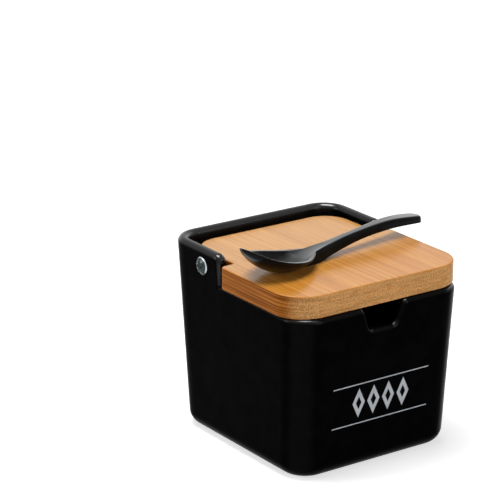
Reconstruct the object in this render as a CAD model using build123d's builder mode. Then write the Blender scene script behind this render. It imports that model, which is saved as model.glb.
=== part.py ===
"""Salt box: a glazed ceramic tub, a wooden lid hinged between its two ears, and a spoon on the lid.

Millimetres. The origin is the centre of the base, +Z is up and the front, with its notch, faces -Y.
"""
from build123d import *

import os
from math import hypot, radians, tan

# Tub: outside sizes at the rim; the walls lean in towards the base and the corners keep one radius.
RIM_WIDTH = 106.4
RIM_DEPTH = 118.0
RIM_HEIGHT = 88.0
CORNER_RADIUS = 15.8
SIDE_DRAFT = 1.9  # degrees
FRONT_DRAFT = 3.2  # degrees, at the back as well
WALL = 6.2
FLOOR = 6.0
BASE_ROUND = 8.0
FLOOR_ROUND = 5.0
LIP_ROUND = 2.9

# Ears: the rim rises round the back third of the tub, and its two front ends carry the lid.
EAR_RISE = 16.2
EAR_LENGTH = 47.7  # from the back of the rim
EAR_ROUND = 5.0

# Notch in the front wall, for the handle of a spoon that stands in the salt.
NOTCH_TOP_WIDTH = 25.2
NOTCH_BOTTOM_WIDTH = 16.4
NOTCH_DEPTH = 12.3
NOTCH_TOP_ROUND = 3.4
NOTCH_BOTTOM_ROUND = 4.0

# Hinge line: measured from the back of the rim and up from the rim.
HINGE_FROM_BACK = 32.5
HINGE_RISE = 7.0

# Lid board: wide in front of the ears, with a narrower tail between them.
BOARD_THICKNESS = 12.0
BOARD_FRONT_INSET = 2.2  # rim left showing in front of the board
BOARD_OVERHANG = 1.8  # past the rim at each side
BOARD_FRONT_RADIUS = 18.0
BOARD_TAIL_RADIUS = 15.0
BOARD_TAIL_GAP = 4.2  # from the tail to the back wall
BOARD_SHOULDER_ROUND = 3.0
BOARD_THROAT_ROUND = 0.6
BOARD_EDGE_ROUND = 0.8
SWING_CLEARANCE = 2.5  # from the turning shoulders to the ears
PILOT_DEPTH = 18.0

# Hinge screws, one through each ear into the edge of the tail.
SCREW_DIAMETER = 4.0
SCREW_LENGTH = 24.0
SCREW_POINT = 4.0
HEAD_DIAMETER = 9.6
HEAD_HEIGHT = 1.8
HEAD_CLEARANCE = 0.15
RECESS_SPAN = 5.0
RECESS_SLOT = 1.3
RECESS_DEPTH = 1.5
RECESS_TAPER = 9.0  # degrees
PILOT_CLEARANCE = 0.02

# Flanged bushes: they line the ears' holes and keep the tail off the ceramic.
BUSH_DIAMETER = 6.0
BUSH_CLEARANCE = 0.02
BUSH_RUNNING_FIT = 0.05
FLANGE_DIAMETER = 10.0
FLANGE_THICKNESS = 0.6
FLANGE_SEAT = 0.05
FLANGE_PLAY = 0.13
BUSH_END_PLAY = 0.05

# Spoon: points along its length from the tip of the bowl, and up from its lowest point.
SPOON_HEADING = 9.0  # degrees from the board's width
SPOON_TIP_OVERHANG = 6.0  # past the left edge of the board
SPOON_TIP_FROM_FRONT = 36.8  # from the front edge of the board
SPOON_CLEARANCE = 0.2
BOWL_WALL = 2.0
BOWL_LIP_ROUND = 0.5
BOWL_AXIS_HEIGHT = 18.5
BOWL_RADII = [
    (0, 0),
    (5.2, 7.4),
    (12.6, 13.3),
    (23.1, 17.8),
    (31, 18.5),
    (38, 17.7),
    (44, 15.7),
    (50, 13),
    (55, 10),
]
BOWL_RIM = [(-4, 20.7), (0, 18.7), (12.6, 12), (27.3, 7.8), (39.9, 5.9), (52.5, 6.8), (60, 7.8)]
# The trough that opens the bowl into the handle, by its distance under the bowl's axis.
TROUGH_RADII = [(36, 15.2), (40, 14.9), (44, 13.9), (50, 12.5), (56, 11.7), (62, 10.8), (67, 9.8)]
# The handle's stations are shares of the spoon's length.
SPOON_LENGTH = 130.8
HANDLE_TOP = [
    (0.26, 5.8),
    (0.35, 6.4),
    (0.4, 7),
    (0.47, 7.6),
    (0.53, 8.4),
    (0.66, 9.7),
    (0.74, 10.3),
    (0.83, 10.3),
    (0.9, 9.4),
    (1.02, 7),
]
HANDLE_UNDERSIDE = [
    (0.26, 0.8),
    (0.3, 0.4),
    (0.35, 0.1),
    (0.41, 0.2),
    (0.46, 1.4),
    (0.54, 3.1),
    (0.64, 4.8),
    (0.76, 5.7),
    (0.84, 5.7),
    (0.9, 5.2),
    (1.02, 3.8),
]
HANDLE_HALF_WIDTHS = [
    (0.26, 3),
    (0.31, 4.4),
    (0.35, 4.9),
    (0.41, 4.3),
    (0.47, 3.6),
    (0.54, 3.1),
    (0.62, 3),
    (0.72, 3.4),
    (0.83, 4.2),
    (0.9, 4.7),
]
HANDLE_END_RADIUS = 4.6
HANDLE_TOP_ROUND = 1.9
HANDLE_UNDERSIDE_ROUND = 1.2

SIDE_SLOPE = tan(radians(SIDE_DRAFT))
FRONT_SLOPE = tan(radians(FRONT_DRAFT))
BEYOND = 20.0  # how far cutting shapes reach past what they cut
NEAR = 0.05  # edges this close to a skin lie on it

EAR_TOP = RIM_HEIGHT + EAR_RISE
EAR_FRONT_Y = RIM_DEPTH / 2 - EAR_LENGTH
HINGE_Y = RIM_DEPTH / 2 - HINGE_FROM_BACK
HINGE_Z = RIM_HEIGHT + HINGE_RISE
HINGE = Axis((0, HINGE_Y, HINGE_Z), (1, 0, 0))
SIDES = {"left": -1, "right": 1}


def half_width(height):
    """Outside half width of the tub at a height."""
    return RIM_WIDTH / 2 + (height - RIM_HEIGHT) * SIDE_SLOPE


def half_depth(height):
    """Outside half depth of the tub at a height."""
    return RIM_DEPTH / 2 + (height - RIM_HEIGHT) * FRONT_SLOPE


def depth_under_skin(point):
    """Level distance from the tub's outer skin in to a point."""
    across = abs(point.X) - half_width(point.Z) + CORNER_RADIUS
    along = abs(point.Y) - half_depth(point.Z) + CORNER_RADIUS
    if across > 0 and along > 0:
        return CORNER_RADIUS - hypot(across, along)
    return CORNER_RADIUS - max(across, along)


def make_block(depth, bottom):
    """The tub's leaning walls as a solid block, from a height up past the ears, a depth under the skin."""
    top = EAR_TOP + depth
    with BuildPart() as block:
        for plane, half, mode in ((Plane.XZ, half_width, Mode.ADD), (Plane.YZ, half_depth, Mode.INTERSECT)):
            with BuildSketch(plane):
                Polygon(
                    (-half(bottom) + depth, bottom),
                    (half(bottom) - depth, bottom),
                    (half(top) - depth, top),
                    (-half(top) + depth, top),
                    align=None,
                )
            extrude(amount=RIM_DEPTH, both=True, mode=mode)
        upright = block.edges().filter_by(lambda edge: bottom < (edge @ 0.5).Z < top)
        fillet(upright, radius=CORNER_RADIUS - depth)
    return block.part


def lip_edges(part, depth):
    """Edges of the rim, the ears and the notch that lie at a depth under the outer skin."""
    lowest = RIM_HEIGHT - NOTCH_DEPTH - NEAR
    return part.edges().filter_by(
        lambda edge: (edge @ 0.5).Z > lowest and abs(depth_under_skin(edge @ 0.5) - depth) < NEAR
    )


# ---- Tub ----
lip_round = min(LIP_ROUND, 0.47 * WALL)
bush_hole_radius = BUSH_DIAMETER / 2 + BUSH_CLEARANCE

with BuildPart() as tub:
    add(make_block(0, 0))
    fillet(tub.faces().sort_by(Axis.Z)[0].edges(), radius=BASE_ROUND)

    # The cavity keeps the wall's thickness all the way up.
    add(make_block(WALL, FLOOR), mode=Mode.SUBTRACT)
    fillet(tub.faces().filter_by(Plane.XY).sort_by(Axis.Z)[1].edges(), radius=FLOOR_ROUND)

    # Everything above the rim goes, in front of the ears.
    front = -half_depth(EAR_TOP) - BEYOND
    with BuildSketch(Plane.YZ.offset(-half_width(EAR_TOP) - BEYOND)):
        with BuildLine():
            Polyline(
                (EAR_FRONT_Y + EAR_ROUND, EAR_TOP),
                (EAR_FRONT_Y + EAR_ROUND, EAR_TOP + BEYOND),
                (front, EAR_TOP + BEYOND),
                (front, RIM_HEIGHT),
                (EAR_FRONT_Y, RIM_HEIGHT),
                (EAR_FRONT_Y, EAR_TOP - EAR_ROUND),
            )
            RadiusArc((EAR_FRONT_Y, EAR_TOP - EAR_ROUND), (EAR_FRONT_Y + EAR_ROUND, EAR_TOP), EAR_ROUND)
        make_face()
    extrude(amount=2 * (half_width(EAR_TOP) + BEYOND), mode=Mode.SUBTRACT)

    notch_floor = RIM_HEIGHT - NOTCH_DEPTH
    with BuildSketch(Plane.XZ.offset(RIM_DEPTH / 2 - WALL - BEYOND)) as notch:
        with BuildLine():
            Polyline(
                (-NOTCH_TOP_WIDTH / 2, EAR_TOP),
                (-NOTCH_TOP_WIDTH / 2, RIM_HEIGHT),
                (-NOTCH_BOTTOM_WIDTH / 2, notch_floor),
                (NOTCH_BOTTOM_WIDTH / 2, notch_floor),
                (NOTCH_TOP_WIDTH / 2, RIM_HEIGHT),
                (NOTCH_TOP_WIDTH / 2, EAR_TOP),
                close=True,
            )
        make_face()
        fillet(notch.vertices().sort_by(Axis.Y)[:2], radius=NOTCH_BOTTOM_ROUND)
    extrude(amount=WALL + 2 * BEYOND, mode=Mode.SUBTRACT)
    notch_corners = tub.edges().filter_by(
        lambda edge: abs(abs((edge @ 0.5).X) - NOTCH_TOP_WIDTH / 2) < NEAR
        and abs((edge @ 0.5).Z - RIM_HEIGHT) < NEAR
        and (edge @ 0.5).Y < 0
    )
    fillet(notch_corners, radius=NOTCH_TOP_ROUND)

    # The lip is rolled: both its edges are rounded until they nearly meet.
    fillet(lip_edges(tub, 0), radius=lip_round)
    fillet(lip_edges(tub, WALL), radius=lip_round)

    with BuildSketch(Plane.YZ.offset(-half_width(EAR_TOP) - BEYOND)):
        with Locations((HINGE_Y, HINGE_Z)):
            Circle(bush_hole_radius)
    extrude(amount=2 * (half_width(EAR_TOP) + BEYOND), mode=Mode.SUBTRACT)

# ---- Hinge stack: ear, bush flange and tail, from the outside in ----
head_x = half_width(HINGE_Z + HEAD_DIAMETER / 2) + HEAD_CLEARANCE
flange_x = half_width(HINGE_Z - FLANGE_DIAMETER / 2) - WALL - FLANGE_SEAT
tail_half_width = flange_x - FLANGE_THICKNESS - FLANGE_PLAY


def hinge_section(side):
    """The upright plane through the hinge line, with its x running out through one ear."""
    return Plane(origin=HINGE.position, x_dir=(side, 0, 0), z_dir=(0, -side, 0))


def make_bush(side):
    """A flanged bush, its flange inside the ear."""
    bore = SCREW_DIAMETER / 2 + BUSH_RUNNING_FIT
    barrel = BUSH_DIAMETER / 2
    flange = FLANGE_DIAMETER / 2
    inner_x = flange_x - FLANGE_THICKNESS
    outer_x = head_x - BUSH_END_PLAY
    with BuildPart() as bush:
        with BuildSketch(hinge_section(side)):
            with BuildLine():
                Polyline(
                    (inner_x, bore),
                    (inner_x, flange),
                    (flange_x, flange),
                    (flange_x, barrel),
                    (outer_x, barrel),
                    (outer_x, bore),
                    close=True,
                )
            make_face()
        revolve(axis=HINGE)
    return bush


def make_screw(side):
    """A dome-headed screw with a cross recess and a plain, pointed shank."""
    radius = SCREW_DIAMETER / 2
    point_x = head_x - SCREW_LENGTH
    crown_x = head_x + HEAD_HEIGHT
    dome_radius = (HEAD_DIAMETER / 2) ** 2 / (2 * HEAD_HEIGHT) + HEAD_HEIGHT / 2
    with BuildPart() as screw:
        with BuildSketch(hinge_section(side)):
            with BuildLine():
                Polyline(
                    (crown_x, 0),
                    (point_x, 0),
                    (point_x + SCREW_POINT, radius),
                    (head_x, radius),
                    (head_x, HEAD_DIAMETER / 2),
                )
                RadiusArc((head_x, HEAD_DIAMETER / 2), (crown_x, 0), dome_radius)
            make_face()
        revolve(axis=HINGE)
        crown = Plane(origin=(side * crown_x, HINGE_Y, HINGE_Z), x_dir=(0, 1, 0), z_dir=(-side, 0, 0))
        with BuildSketch(crown):
            Rectangle(RECESS_SPAN, RECESS_SLOT)
            Rectangle(RECESS_SLOT, RECESS_SPAN)
        extrude(amount=RECESS_DEPTH, taper=RECESS_TAPER, mode=Mode.SUBTRACT)
    return screw


# ---- Lid ----
board_half_width = RIM_WIDTH / 2 + BOARD_OVERHANG
board_front_y = BOARD_FRONT_INSET - RIM_DEPTH / 2
board_top = RIM_HEIGHT + BOARD_THICKNESS
tail_y = RIM_DEPTH / 2 - WALL - BOARD_TAIL_GAP
# The shoulders stop short of the ears by the reach of an ear's rounded front corner from the hinge line.
ear_forward = HINGE_Y - EAR_FRONT_Y - EAR_ROUND
ear_upward = EAR_TOP - HINGE_Z - EAR_ROUND
shoulder_y = HINGE_Y - hypot(ear_forward, ear_upward) - EAR_ROUND - SWING_CLEARANCE


def corner_pair(sketch, half_width, y):
    """The sketch's left and right corners at a half width and a place along Y."""
    return sketch.vertices().filter_by(
        lambda corner: abs(abs(corner.X) - half_width) < NEAR and abs(corner.Y - y) < NEAR
    )


with BuildPart() as lid:
    with BuildSketch(Plane.XY.offset(RIM_HEIGHT)) as outline:
        with BuildLine():
            Polyline(
                (-board_half_width, board_front_y),
                (board_half_width, board_front_y),
                (board_half_width, shoulder_y),
                (tail_half_width, shoulder_y),
                (tail_half_width, tail_y),
                (-tail_half_width, tail_y),
                (-tail_half_width, shoulder_y),
                (-board_half_width, shoulder_y),
                close=True,
            )
        make_face()
        fillet(corner_pair(outline, board_half_width, board_front_y), radius=BOARD_FRONT_RADIUS)
        fillet(corner_pair(outline, board_half_width, shoulder_y), radius=BOARD_SHOULDER_ROUND)
        fillet(corner_pair(outline, tail_half_width, shoulder_y), radius=BOARD_THROAT_ROUND)
        fillet(corner_pair(outline, tail_half_width, tail_y), radius=BOARD_TAIL_RADIUS)
    extrude(amount=BOARD_THICKNESS)
    fillet(lid.faces().filter_by(Plane.XY).edges(), radius=BOARD_EDGE_ROUND)

    for side in SIDES.values():
        pilot_end = Vector(side * (tail_half_width - PILOT_DEPTH), HINGE_Y, HINGE_Z)
        with BuildSketch(Plane(origin=pilot_end, z_dir=(side, 0, 0))):
            Circle(SCREW_DIAMETER / 2 + PILOT_CLEARANCE)
        extrude(amount=PILOT_DEPTH + BEYOND, mode=Mode.SUBTRACT)

# ---- Spoon ----
spoon_tip = Vector(
    -board_half_width - SPOON_TIP_OVERHANG,
    board_front_y + SPOON_TIP_FROM_FRONT,
    board_top + SPOON_CLEARANCE,
)
along_spoon = Vector(1, 0, 0).rotate(Axis.Z, SPOON_HEADING)
spoon_side = Plane(origin=spoon_tip, x_dir=along_spoon, z_dir=along_spoon.rotate(Axis.Z, -90))
spoon_plan = Plane(origin=spoon_tip, x_dir=along_spoon, z_dir=(0, 0, 1))
bowl_plane = Plane(
    origin=spoon_tip + Vector(0, 0, BOWL_AXIS_HEIGHT), x_dir=along_spoon, z_dir=spoon_side.z_dir
)
bowl_axis = Axis(bowl_plane.origin, along_spoon)
spoon_reach = SPOON_LENGTH + BEYOND


def inset(points, wall):
    """The points of a bowl's profile moved in by the wall, square to the line through their neighbours."""
    moved = [(points[0][0] + wall, 0)]
    for before, (along, radius), after in zip(points, points[1:], points[2:]):
        run = after[0] - before[0]
        rise = after[1] - before[1]
        length = hypot(run, rise)
        moved.append((along + wall * rise / length, radius - wall * run / length))
    moved.append((points[-1][0], points[-1][1] - wall))
    return moved


def make_bowl_body(points):
    """A solid of revolution about the bowl's level axis, from its rounded tip to the handle."""
    with BuildPart() as body:
        with BuildSketch(bowl_plane):
            with BuildLine():
                wall = Spline(*points, tangents=[(0.05, 1), (0.9, -0.55)], tangent_scalars=[0.6, 1.0])
                Polyline(wall @ 1, (points[-1][0], 0), points[0])
            make_face()
        revolve(axis=bowl_axis)
    return body


def stations(points):
    """Points whose first value is a share of the spoon's length, in millimetres."""
    return [(share * SPOON_LENGTH, value) for share, value in points]


handle_flank = [
    *stations(HANDLE_HALF_WIDTHS),
    (SPOON_LENGTH - HANDLE_END_RADIUS, HANDLE_END_RADIUS),
]
salt_scoop = make_bowl_body(inset(BOWL_RADII, BOWL_WALL))

with BuildPart() as bowl:
    add(make_bowl_body(BOWL_RADII).part)
    with BuildSketch(spoon_side.offset(-spoon_reach)):
        with BuildLine():
            rim_line = Spline(*BOWL_RIM)
            above = 2 * BOWL_AXIS_HEIGHT + BEYOND
            Polyline(rim_line @ 1, (BOWL_RIM[-1][0], above), (BOWL_RIM[0][0], above), BOWL_RIM[0])
        make_face()
    extrude(amount=2 * spoon_reach, mode=Mode.SUBTRACT)
    add(salt_scoop.part, mode=Mode.SUBTRACT)
    fillet(bowl.edges(), radius=BOWL_LIP_ROUND)

with BuildPart() as trough:
    with BuildSketch(bowl_plane):
        with BuildLine():
            trough_line = Spline(*TROUGH_RADII)
            near_end = TROUGH_RADII[0][0]
            far_end = TROUGH_RADII[-1][0]
            Polyline(trough_line @ 1, (far_end, 0), (near_end, 0), trough_line @ 0)
        make_face()
    revolve(axis=bowl_axis)

with BuildPart() as spoon:
    with BuildSketch(spoon_side.offset(-spoon_reach)):
        with BuildLine():
            underside = Spline(*stations(HANDLE_UNDERSIDE))
            top = Spline(*stations(HANDLE_TOP))
            Line(underside @ 0, top @ 0)
            Line(underside @ 1, top @ 1)
        make_face()
    extrude(amount=2 * spoon_reach)
    with BuildSketch(spoon_plan):
        with BuildLine():
            far_flank = Spline(*handle_flank)
            near_flank = Spline(*[(along, -width) for along, width in handle_flank])
            Line(far_flank @ 0, near_flank @ 0)
            ThreePointArc(far_flank @ 1, (SPOON_LENGTH, 0), near_flank @ 1)
        make_face()
    extrude(amount=BEYOND, mode=Mode.INTERSECT)
    for place, radius in ((-1, HANDLE_TOP_ROUND), (0, HANDLE_UNDERSIDE_ROUND)):
        face = spoon.faces().sort_by(Axis.Z)[place]
        fillet(face.edges().filter_by(GeomType.LINE, reverse=True), radius=radius)
    add(salt_scoop.part, mode=Mode.SUBTRACT)
    add(bowl.part)
    add(trough.part, mode=Mode.SUBTRACT)

# ---- Pieces ----
pieces = {"ceramic_tub": tub, "lid_board": lid, "spoon": spoon}
for name, side in SIDES.items():
    pieces[f"bush_{name}"] = make_bush(side)
    pieces[f"screw_{name}"] = make_screw(side)

os.makedirs("parts", exist_ok=True)
for label, piece in pieces.items():
    piece.part.label = label
    export_step(piece.part, f"parts/{label}.step")
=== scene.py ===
"""Studio view of a black ceramic salt box with a bamboo lid and a spoon.

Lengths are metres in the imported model's frame. Inside the materials they are millimetres.
"""

from math import radians

import bmesh
import bpy
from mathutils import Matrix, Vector


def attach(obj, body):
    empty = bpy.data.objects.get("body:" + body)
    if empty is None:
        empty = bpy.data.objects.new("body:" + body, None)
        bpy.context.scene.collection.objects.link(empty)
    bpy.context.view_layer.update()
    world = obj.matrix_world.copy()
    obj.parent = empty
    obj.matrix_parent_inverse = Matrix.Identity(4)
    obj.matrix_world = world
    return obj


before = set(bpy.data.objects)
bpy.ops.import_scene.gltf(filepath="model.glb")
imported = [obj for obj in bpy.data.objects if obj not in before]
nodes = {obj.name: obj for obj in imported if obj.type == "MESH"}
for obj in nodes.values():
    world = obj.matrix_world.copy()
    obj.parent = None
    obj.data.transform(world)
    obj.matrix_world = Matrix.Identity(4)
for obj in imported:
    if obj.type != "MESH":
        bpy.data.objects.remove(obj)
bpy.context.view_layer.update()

MM = 0.001

# Levels above the floor for the materials, in millimetres
FOOT_LEVEL = 0.25  # the raw underside lies below it
RIM_LEVEL = 88.0
LID_TOP_LEVEL = 100.0

# Print on the front face
PRINT_THICKNESS = 0.05 * MM  # in front of the face, and as much inside it
PRINT_RAY_START = 0.2  # how far in front of the origin the rays that place the print start
RULE_HALF_LENGTH = 30.4 * MM
RULE_HEIGHT = 0.55 * MM
RULE_LEVELS = (47.6 * MM, 25.95 * MM)
LOZENGE_CENTRES = (-14.0 * MM, -4.6 * MM, 4.8 * MM, 14.2 * MM)
LOZENGE_LEVEL = 37.2 * MM
LOZENGE_HALF_WIDTH = 3.9 * MM
LOZENGE_HALF_HEIGHT = 8.0 * MM
LOZENGE_HOLE_SHARE = 0.45  # the hole's size as a share of the lozenge's

# Camera, fitted to the photograph's outline
CAMERA_PLACE = (-0.7033, -0.94478, 0.4961)
CAMERA_TILT = 71.43  # degrees up from straight down
CAMERA_TURN = -35.0  # degrees about Z
CAMERA_LENS = 172.4  # millimetres, like the sensor
CAMERA_SENSOR = 36.0

# Floor and world
FLOOR_SIZE = 8.0
GLOW_START = 300.0  # millimetres from the origin
GLOW_END = 1200.0
GLOW_NEAR = 0.62  # a share of white
GLOW_FAR = 1.0
WORLD_LIGHT = 0.06
WHITE = (1.0, 1.0, 1.0)


# ---- Node helpers ----
class Tree:
    """A node tree, with a short call for each kind of node that is used here.

    Where a call takes a number or a colour, another node's output can take its place.
    """

    def __init__(self, tree):
        self.tree = tree

    def connect(self, node, inputs):
        """Sets the node's inputs, or links them to other nodes' outputs."""
        for key, value in inputs.items():
            socket = node.inputs[key]
            if isinstance(value, bpy.types.NodeSocket):
                self.tree.links.new(value, socket)
            elif socket.type == "RGBA":
                socket.default_value = (*value, 1.0)
            else:
                socket.default_value = value

    def add(self, kind, inputs=None, **settings):
        """Adds a node and returns the node itself."""
        node = self.tree.nodes.new(kind)
        for name, value in settings.items():
            setattr(node, name, value)
        self.connect(node, inputs or {})
        return node

    def maths(self, operation, first, second=0.0):
        """The result of an operation on one or two values."""
        return self.add("ShaderNodeMath", {0: first, 1: second}, operation=operation).outputs[0]

    def plus(self, first, second):
        return self.maths("ADD", first, second)

    def minus(self, first, second):
        return self.maths("SUBTRACT", first, second)

    def times(self, first, second):
        return self.maths("MULTIPLY", first, second)

    def larger(self, first, second):
        return self.maths("MAXIMUM", first, second)

    def absolute(self, value):
        return self.maths("ABSOLUTE", value)

    def vector_maths(self, operation, inputs):
        """The outputs of an operation on vectors: a vector first, then a value."""
        return self.add("ShaderNodeVectorMath", inputs, operation=operation).outputs

    def parts(self, vector):
        """X, Y and Z of a vector."""
        return self.add("ShaderNodeSeparateXYZ", {0: vector}).outputs

    def position(self):
        """The surface point in the row frame, in millimetres."""
        place = self.add("ShaderNodeTexCoord").outputs["Object"]
        return self.vector_maths("SCALE", {0: place, "Scale": 1 / MM})[0]

    def normal_parts(self):
        """X, Y and Z of the surface's own normal."""
        return self.parts(self.add("ShaderNodeTexCoord").outputs["Normal"])

    def noise(self, place, grain, detail=2.0, roughness=0.5):
        """Noise of 0 to 1, whose grain is so many millimetres, or so many along each axis."""
        sizes = grain if isinstance(grain, tuple) else (grain, grain, grain)
        stretch = Vector([1 / size for size in sizes])
        scaled = self.vector_maths("MULTIPLY", {0: place, 1: stretch})[0]
        inputs = {"Vector": scaled, "Scale": 1.0, "Detail": detail, "Roughness": roughness}
        return self.add("ShaderNodeTexNoise", inputs).outputs["Fac"]

    def ramp(self, value, low, high, to=(0.0, 1.0)):
        """The value mapped from low..high to a range of results, smoothly and clamped."""
        inputs = {
            "Value": value,
            "From Min": low,
            "From Max": high,
            "To Min": to[0],
            "To Max": to[1],
        }
        return self.add("ShaderNodeMapRange", inputs, interpolation_type="SMOOTHSTEP").outputs["Result"]

    def mix(self, share, first, second, blend="MIX"):
        """The first colour, with a share of 0 to 1 of the second mixed in."""
        # This node keeps the colours at inputs 6 and 7, and their mix at output 2.
        inputs = {0: share, 6: first, 7: second}
        return self.add("ShaderNodeMix", inputs, data_type="RGBA", blend_type=blend).outputs[2]

    def stain(self, colour, mask, stain_colour, strength):
        """The colour, with so much of the stain's colour over it where the mask is 1."""
        return self.mix(self.times(mask, strength), colour, stain_colour)

    def bump(self, height, distance, strength, below=None):
        """A normal from a height map of so many millimetres, over an earlier one."""
        inputs = {"Height": height, "Distance": distance * MM, "Strength": strength}
        if below is not None:
            inputs["Normal"] = below
        return self.add("ShaderNodeBump", inputs).outputs[0]

    def background_rays(self):
        """1 for the rays that show the background: camera, glossy and transmission."""
        path = self.add("ShaderNodeLightPath").outputs
        seen = self.larger(path["Is Camera Ray"], path["Is Glossy Ray"])
        return self.larger(seen, path["Is Transmission Ray"])


def new_material(name):
    """A material with its tree and its Principled shader."""
    material = bpy.data.materials.new(name)
    material.use_nodes = True
    return material, Tree(material.node_tree), material.node_tree.nodes["Principled BSDF"]


# ---- Materials ----
# Most of a noise lies between 0.3 and 0.7: a ramp over that range follows it, and a narrower one
# picks out its peaks. Masks run from 0 to 1 and come from the surface's place and normal, where a
# normal_z of 1 faces up and a normal_y of -1 faces the front.


def satin_glaze():
    """Black satin glaze, polished on the lips and ears, with raw stoneware under the foot."""
    material, tree, shader = new_material("satin_black_glaze")
    place = tree.position()
    _, along, height = tree.parts(place)
    normal_x, normal_y, normal_z = tree.normal_parts()
    mottle = tree.noise(place, 9, detail=4)
    peel = tree.noise(place, 1.1)
    pool = tree.noise(place, (34, 34, 26), detail=1)
    specks = tree.noise(place, 0.35, detail=1)
    body = tree.noise(place, 0.6, detail=4)

    deep, clouded = (0.0012, 0.0012, 0.0013), (0.0024, 0.0023, 0.0025)
    speck_grey = (0.01, 0.0095, 0.009)
    clay_dark, clay_pale = (0.22, 0.19, 0.16), (0.36, 0.32, 0.27)
    glaze = tree.mix(tree.ramp(mottle, 0.35, 0.7), deep, clouded)
    glaze = tree.stain(glaze, tree.ramp(specks, 0.74, 0.80), speck_grey, strength=0.35)
    stoneware = tree.mix(body, clay_dark, clay_pale)
    under = tree.maths("LESS_THAN", height, FOOT_LEVEL)

    # Upright corners: strong on the ears' front edges, weak on the tub's walls and rounded foot.
    weak = 0.12
    ears_back, ears_front = 40.0, 30.0
    corner = tree.absolute(tree.times(normal_x, normal_y))
    above_rim = tree.ramp(height, RIM_LEVEL - 1.0, RIM_LEVEL + 1.0)
    ear_edge = tree.times(above_rim, tree.ramp(along, ears_back, ears_front))
    upright = tree.times(tree.ramp(corner, 0.25, 0.5), tree.larger(ear_edge, weak))
    upright = tree.larger(upright, tree.ramp(normal_z, -0.1, -0.7, to=(0.0, weak)))

    # Lips that face up: faint along the rim under the lid, stronger at its corners, full above it.
    faint, at_corners, upright_share = 0.14, 0.5, 0.6
    lip = tree.ramp(height, RIM_LEVEL + 0.2, RIM_LEVEL + 2.0, to=(faint, 1.0))
    lip = tree.larger(lip, tree.ramp(corner, 0.04, 0.15, to=(0.0, at_corners)))
    lip = tree.times(lip, tree.ramp(normal_z, 0.1, 0.7))
    polish = tree.larger(lip, tree.times(upright, upright_share))

    # Two brighter places: lips that turn a corner, and the back wall's inside, which mirrors the lid.
    corner_lip = tree.times(tree.ramp(corner, 0.09, 0.155), tree.ramp(normal_z, 0.6, 0.8))
    faces_front = tree.ramp(normal_y, -0.2, -0.8)
    inner_back = tree.times(faces_front, tree.ramp(height, RIM_LEVEL - 1.0, RIM_LEVEL + 8.0))

    wall_sheen, polish_sheen, back_sheen, corner_sheen = 0.003, 0.25, 0.12, 0.75
    sheen = tree.plus(tree.times(polish, polish_sheen), tree.times(inner_back, back_sheen))
    sheen = tree.plus(sheen, tree.times(corner_lip, corner_sheen))
    polish_smoothing, stoneware_roughness = 0.14, 0.85
    rough = tree.ramp(mottle, 0.3, 0.75, to=(0.27, 0.35))
    rough = tree.minus(rough, tree.times(polish, polish_smoothing))
    waves = tree.bump(pool, distance=0.35, strength=0.5)
    inputs = {
        "Base Color": tree.mix(under, glaze, stoneware),
        "Roughness": tree.larger(rough, tree.times(under, stoneware_roughness)),
        "Specular IOR Level": tree.plus(sheen, wall_sheen),
        "Normal": tree.bump(peel, distance=0.012, strength=0.6, below=waves),
    }
    tree.connect(shader, inputs)
    return material


def gloss_glaze():
    """Gloss black glaze of the spoon, with a painted highlight of lighter grey on the faces that look
    up, most on its rim and handle.
    """
    material, tree, shader = new_material("gloss_black_glaze")
    place = tree.position()
    _, _, height = tree.parts(place)
    _, normal_y, normal_z = tree.normal_parts()
    cloud = tree.noise(place, 7, detail=3)
    peel = tree.noise(place, 1.6)
    pool = tree.noise(place, 14, detail=1)

    # The bowl's inside lies low, and its rim and the handle high.
    bowl = 0.22
    rim_and_handle = tree.ramp(height, LID_TOP_LEVEL + 2.6, LID_TOP_LEVEL + 6.4, to=(bowl, 1.0))
    # Painted highlight: faces that look up, most on the rim and the handle, are painted a lighter grey.
    thin = tree.times(tree.ramp(normal_z, 0.85, 0.98), rim_and_handle)

    # The sheen is strong on top, less where the glaze faces the front, and mirrors the wood below.
    top = tree.times(tree.ramp(normal_z, 0.7, 0.99, to=(0.08, 1.0)), rim_and_handle)
    top = tree.times(top, tree.ramp(normal_y, -0.45, -0.1, to=(0.1, 1.0)))
    underside = tree.ramp(normal_z, -0.5, -0.85, to=(0.05, 0.8))

    deep, clouded = (0.0025, 0.0027, 0.003), (0.005, 0.0053, 0.006)
    painted_highlight_grey = (0.055, 0.058, 0.062)
    glaze = tree.mix(tree.ramp(cloud, 0.35, 0.7), deep, clouded)
    rough = tree.ramp(cloud, 0.3, 0.75, to=(0.42, 0.48))
    smoothing = 0.27
    waves = tree.bump(pool, distance=0.05, strength=0.5)
    inputs = {
        "Base Color": tree.mix(thin, glaze, painted_highlight_grey),
        "Roughness": tree.minus(rough, tree.times(rim_and_handle, smoothing)),
        "Specular IOR Level": tree.larger(top, underside),
        "Normal": tree.bump(peel, distance=0.006, strength=0.5, below=waves),
    }
    tree.connect(shader, inputs)
    return material


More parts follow.
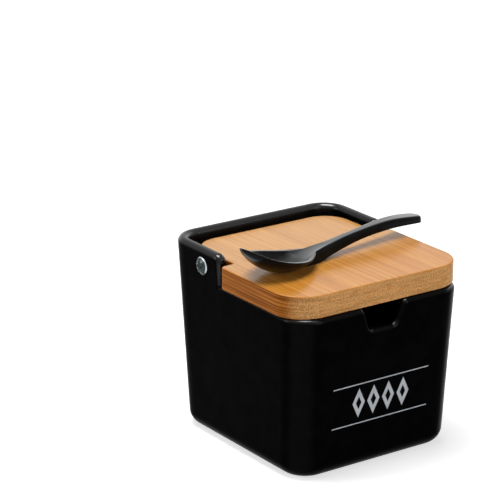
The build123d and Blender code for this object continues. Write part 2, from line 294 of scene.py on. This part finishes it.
def bamboo():
    """Oiled bamboo board: strips and fibres run along Y, so the ends show them as specks."""
    material, tree, shader = new_material("oiled_bamboo")
    place = tree.position()
    across, along, _ = tree.parts(place)
    normal_x, normal_y, normal_z = tree.normal_parts()
    side_face = tree.ramp(tree.absolute(normal_x), 0.45, 0.9)
    end_face = tree.ramp(tree.absolute(normal_y), 0.35, 0.85)
    broad = tree.noise(place, (1.5, 170, 1.5), detail=5, roughness=0.65)
    fibres = tree.noise(place, (0.42, 70, 0.42), detail=3, roughness=0.6)
    pores = tree.noise(place, (0.16, 5.5, 0.16))
    lines = tree.noise(place, (0.85, 100, 0.85), roughness=0.4)
    flecks = tree.noise(place, (0.9, 16, 0.9), roughness=0.4)
    bands = tree.noise(place, (30, 140, 0.95), detail=4, roughness=0.7)
    ends = tree.noise(place, 0.8, detail=3, roughness=0.7)
    patches = tree.noise(place, (7, 7, 2.5))

    # The board is glued from strips, each a little darker or lighter than its neighbour.
    strip_width, strip_wander, strip_contrast = 7.6, 1.2, 0.16
    wander = tree.times(tree.noise(place, (30, 90, 30), detail=1), strip_wander)
    strip = tree.maths("DIVIDE", tree.plus(across, wander), strip_width)
    number = tree.maths("FLOOR", strip)
    tone = tree.add("ShaderNodeTexWhiteNoise", {"W": number}, noise_dimensions="1D").outputs["Value"]
    from_middle = tree.absolute(tree.minus(tree.maths("FRACT", strip), 0.5))
    joint = tree.ramp(from_middle, 0.475, 0.5)

    # The top: dark marks over light and medium wood. Each mark has its start, its end and its strength.
    light, medium, dark = (0.84, 0.42, 0.105), (0.66, 0.29, 0.044), (0.42, 0.14, 0.016)
    wood = tree.mix(tree.ramp(broad, 0.36, 0.64), light, medium)
    marks = (
        (lines, 0.5, 0.68, 0.3),
        (fibres, 0.46, 0.66, 0.62),
        (pores, 0.56, 0.72, 0.4),
        (flecks, 0.56, 0.72, 0.3),
    )
    for mark, start, end, strength in marks:
        wood = tree.stain(wood, tree.ramp(mark, start, end), dark, strength)
    wood = tree.mix(tree.ramp(tone, 0.0, 1.0, to=(0.0, strip_contrast)), wood, dark)
    wood = tree.stain(wood, joint, dark, strip_contrast)

    # Painted reflection: warmer towards the front, painted as if the board mirrored less white there,
    # and paler towards the back, a painted sheen.
    painted_sheenless_warm, pale = (1.0, 0.9, 0.66), (0.72, 0.43, 0.19)
    towards_back, towards_front = 20.0, -40.0
    painted_sheen_loss = tree.ramp(along, towards_back, towards_front)
    wood = tree.mix(painted_sheen_loss, wood, painted_sheenless_warm, blend="MULTIPLY")
    wood = tree.stain(wood, tree.minus(1.0, painted_sheen_loss), pale, strength=0.18)

    # The sides show long dark bands.
    red_brown, deep_brown, dark_fibre = (0.62, 0.22, 0.034), (0.25, 0.065, 0.006), (0.15, 0.04, 0.006)
    streaks = tree.mix(tree.ramp(bands, 0.38, 0.62), red_brown, deep_brown)
    streaks = tree.stain(streaks, tree.ramp(fibres, 0.46, 0.68), dark_fibre, strength=0.65)
    wood = tree.mix(side_face, wood, streaks)

    # The ends show the fibres cut across.
    straw, tan = (0.95, 0.52, 0.20), (0.60, 0.27, 0.08)
    band_brown, patch_orange = (0.24, 0.095, 0.03), (0.60, 0.20, 0.05)
    speckle = tree.mix(tree.ramp(ends, 0.4, 0.62), straw, tan)
    speckle = tree.stain(speckle, tree.ramp(bands, 0.4, 0.7), band_brown, strength=0.35)
    speckle = tree.stain(speckle, tree.ramp(patches, 0.5, 0.7), patch_orange, strength=0.45)
    wood = tree.mix(end_face, wood, speckle)

    # The rounded top edge is a little deeper in colour.
    edge_brown = (0.66, 0.25, 0.04)
    edge = tree.times(tree.ramp(normal_z, 0.15, 0.5), tree.ramp(normal_z, 0.97, 0.8))

    # The top is sleek, and the other faces are nearly without sheen.
    grain = tree.bump(fibres, distance=0.05, strength=0.35)
    inputs = {
        "Base Color": tree.stain(wood, edge, edge_brown, strength=0.5),
        "Roughness": tree.ramp(fibres, 0.3, 0.8, to=(0.19, 0.3)),
        "Specular IOR Level": tree.ramp(normal_z, 0.7, 0.98, to=(0.03, 0.5)),
        "Normal": tree.bump(pores, distance=0.03, strength=0.3, below=grain),
    }
    tree.connect(shader, inputs)
    return material


def zinc():
    """Dulled zinc plate, with a painted highlight round the top of the head."""
    material, tree, shader = new_material("zinc_plate")
    place = tree.position()
    normal_x, normal_y, normal_z = tree.normal_parts()
    blotch = tree.noise(place, 1.4, detail=3)
    scratch = tree.noise(place, (0.5, 3.0, 0.12))

    grey, slate, painted_glint_grey = (0.040, 0.052, 0.052), (0.016, 0.022, 0.023), (0.62, 0.66, 0.66)
    # Painted highlight: the head's rim is painted a light grey where it faces up and forward.
    head_edge = tree.ramp(tree.absolute(normal_x), 0.84, 0.77)
    up_and_forward = tree.ramp(tree.minus(normal_z, normal_y), -0.1, 0.45)
    dull = tree.mix(tree.ramp(blotch, 0.35, 0.7), grey, slate)
    inputs = {
        "Base Color": tree.mix(tree.times(head_edge, up_and_forward), dull, painted_glint_grey),
        "Metallic": 1.0,
        "Roughness": tree.ramp(blotch, 0.3, 0.8, to=(0.2, 0.36)),
        "Normal": tree.bump(scratch, distance=0.02, strength=0.3),
    }
    tree.connect(shader, inputs)
    return material


def nylon():
    """Black nylon, dull and waxy."""
    material, tree, shader = new_material("black_nylon")
    cloud = tree.noise(tree.position(), 1.8, detail=3)
    black, charcoal = (0.010, 0.010, 0.011), (0.022, 0.022, 0.023)
    inputs = {
        "Base Color": tree.mix(cloud, black, charcoal),
        "Roughness": tree.ramp(cloud, 0.3, 0.8, to=(0.42, 0.55)),
        "Specular IOR Level": 0.2,
        "Normal": tree.bump(cloud, distance=0.02, strength=0.4),
    }
    tree.connect(shader, inputs)
    return material


def enamel_print():
    """Pale grey screen print, thin in places, so that a little black shows through."""
    material, tree, shader = new_material("grey_enamel_print")
    place = tree.position()
    thin = tree.noise(place, 0.5, detail=3)
    worn = tree.noise(place, 4, detail=3)
    fresh_grey, worn_grey, show_through = (0.585, 0.62, 0.66), (0.495, 0.525, 0.565), (0.12, 0.12, 0.12)
    grey = tree.mix(tree.ramp(worn, 0.35, 0.75), fresh_grey, worn_grey)
    inputs = {
        "Base Color": tree.stain(grey, tree.ramp(thin, 0.62, 0.78), show_through, strength=0.5),
        "Roughness": tree.ramp(thin, 0.3, 0.8, to=(0.5, 0.65)),
        "Specular IOR Level": 0.3,
        "Normal": tree.bump(thin, distance=0.01, strength=0.5),
    }
    tree.connect(shader, inputs)
    return material


def dress(piece, material):
    """Puts one material on the whole piece."""
    piece.data.materials.clear()
    piece.data.materials.append(material)


dress(nodes["ceramic_tub"], satin_glaze())
dress(nodes["lid_board"], bamboo())
dress(nodes["spoon"], gloss_glaze())
steel = zinc()
plastic = nylon()
for side in ("left", "right"):
    dress(nodes[f"screw_{side}"], steel)
    dress(nodes[f"bush_{side}"], plastic)


# ---- Print on the front face ----
ink = enamel_print()


def on_front(x, z, lift):
    """The point of the tub's front face at x and z, lifted off it."""
    start = Vector((x, -PRINT_RAY_START, z))
    hit, place, normal, _ = nodes["ceramic_tub"].ray_cast(start, Vector((0, 1, 0)))
    if not hit:
        raise ValueError("the print falls outside the front face")
    return place + normal * lift


def film_loop(mesh, loop, lift):
    """The mesh points of one loop of (x, z) points, lifted off the front face."""
    return [mesh.verts.new(on_front(x, z, lift)) for x, z in loop]


def raise_outline(mesh, loops):
    """Adds one printed shape from its outer loop and, if it is open, its hole's loop."""
    front = [film_loop(mesh, loop, PRINT_THICKNESS) for loop in loops]
    back = [film_loop(mesh, loop, -PRINT_THICKNESS) for loop in loops]
    has_hole = len(loops) == 2
    count = len(loops[0])
    for i in range(count):
        j = (i + 1) % count
        for near, far in zip(front, back):
            mesh.faces.new((near[i], near[j], far[j], far[i]))
        if has_hole:
            for outer, hole in (front, back):
                mesh.faces.new((outer[i], outer[j], hole[j], hole[i]))
    if not has_hole:
        mesh.faces.new(front[0])
        mesh.faces.new(back[0])


def raise_print(name, outlines):
    """A thin printed film of several shapes on the front face, which rides on the tub."""
    mesh = bmesh.new()
    for loops in outlines:
        raise_outline(mesh, loops)
    bmesh.ops.recalc_face_normals(mesh, faces=mesh.faces)
    data = bpy.data.meshes.new(name)
    mesh.to_mesh(data)
    mesh.free()
    piece = bpy.data.objects.new(name, data)
    bpy.context.scene.collection.objects.link(piece)
    dress(piece, ink)
    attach(piece, "tub")


def lozenge(x, share):
    """The corners of an upright lozenge, at a share of its full size."""
    wide = LOZENGE_HALF_WIDTH * share
    tall = LOZENGE_HALF_HEIGHT * share
    return [
        (x - wide, LOZENGE_LEVEL),
        (x, LOZENGE_LEVEL - tall),
        (x + wide, LOZENGE_LEVEL),
        (x, LOZENGE_LEVEL + tall),
    ]


def rule(level):
    """The corners of a thin level line."""
    low = level - RULE_HEIGHT / 2
    high = level + RULE_HEIGHT / 2
    return [
        (-RULE_HALF_LENGTH, low),
        (RULE_HALF_LENGTH, low),
        (RULE_HALF_LENGTH, high),
        (-RULE_HALF_LENGTH, high),
    ]


raise_print("front_rules", [[rule(level)] for level in RULE_LEVELS])
lozenges = [[lozenge(x, 1.0), lozenge(x, LOZENGE_HOLE_SHARE)] for x in LOZENGE_CENTRES]
raise_print("front_lozenges", lozenges)


# ---- Studio ----
def make_floor():
    """A plain pale floor that keeps the box's shadow and fades to white round it."""
    bpy.ops.mesh.primitive_plane_add(size=FLOOR_SIZE, location=(0, 0, 0))
    floor = bpy.context.object
    floor.name = "studio_floor"
    material, tree, shader = new_material("pale_floor")
    distance = tree.vector_maths("LENGTH", {0: tree.position()})["Value"]
    glow = tree.ramp(distance, GLOW_START, GLOW_END, to=(GLOW_NEAR, GLOW_FAR))
    inputs = {
        "Base Color": (0.8, 0.8, 0.8),
        "Roughness": 0.9,
        "Specular IOR Level": 0.0,
        "Emission Color": WHITE,
        "Emission Strength": tree.times(tree.background_rays(), glow),
    }
    tree.connect(shader, inputs)
    dress(floor, material)


def make_world():
    """White where it is seen or mirrored, and a weak grey as light."""
    world = bpy.data.worlds.new("studio")
    world.use_nodes = True
    bpy.context.scene.world = world
    world.node_tree.nodes.clear()
    tree = Tree(world.node_tree)
    strength = tree.larger(tree.background_rays(), WORLD_LIGHT)
    background = tree.add("ShaderNodeBackground", {"Color": WHITE, "Strength": strength})
    tree.add("ShaderNodeOutputWorld", {"Surface": background.outputs[0]})


def softbox(name, place, target_height, side, power):
    """A square lamp of so many watts, which faces the point at that height above the origin."""
    lamp = bpy.data.lights.new(name, "AREA")
    lamp.shape = "SQUARE"
    lamp.size = side
    lamp.energy = power
    holder = bpy.data.objects.new(name, lamp)
    bpy.context.scene.collection.objects.link(holder)
    holder.location = place
    facing = Vector((0, 0, target_height)) - Vector(place)
    holder.rotation_euler = facing.to_track_quat("-Z", "Y").to_euler()


def make_camera():
    """The camera at the photograph's viewing angle."""
    camera = bpy.data.cameras.new("camera")
    camera.lens = CAMERA_LENS
    camera.sensor_width = CAMERA_SENSOR
    holder = bpy.data.objects.new("camera", camera)
    bpy.context.scene.collection.objects.link(holder)
    holder.location = CAMERA_PLACE
    holder.rotation_euler = (radians(CAMERA_TILT), 0, radians(CAMERA_TURN))
    bpy.context.scene.camera = holder


make_floor()
make_world()
softbox("key_above", place=(-0.1, 0.14, 1.1), target_height=0.09, side=0.62, power=9.6)
softbox("soft_left", place=(-0.95, 0.55, 0.45), target_height=0.08, side=0.5, power=4.2)
softbox("fill_front", place=(0.3, -1.2, 0.55), target_height=0.06, side=0.9, power=5.2)
make_camera()
bpy.context.scene.view_settings.view_transform = "Standard"
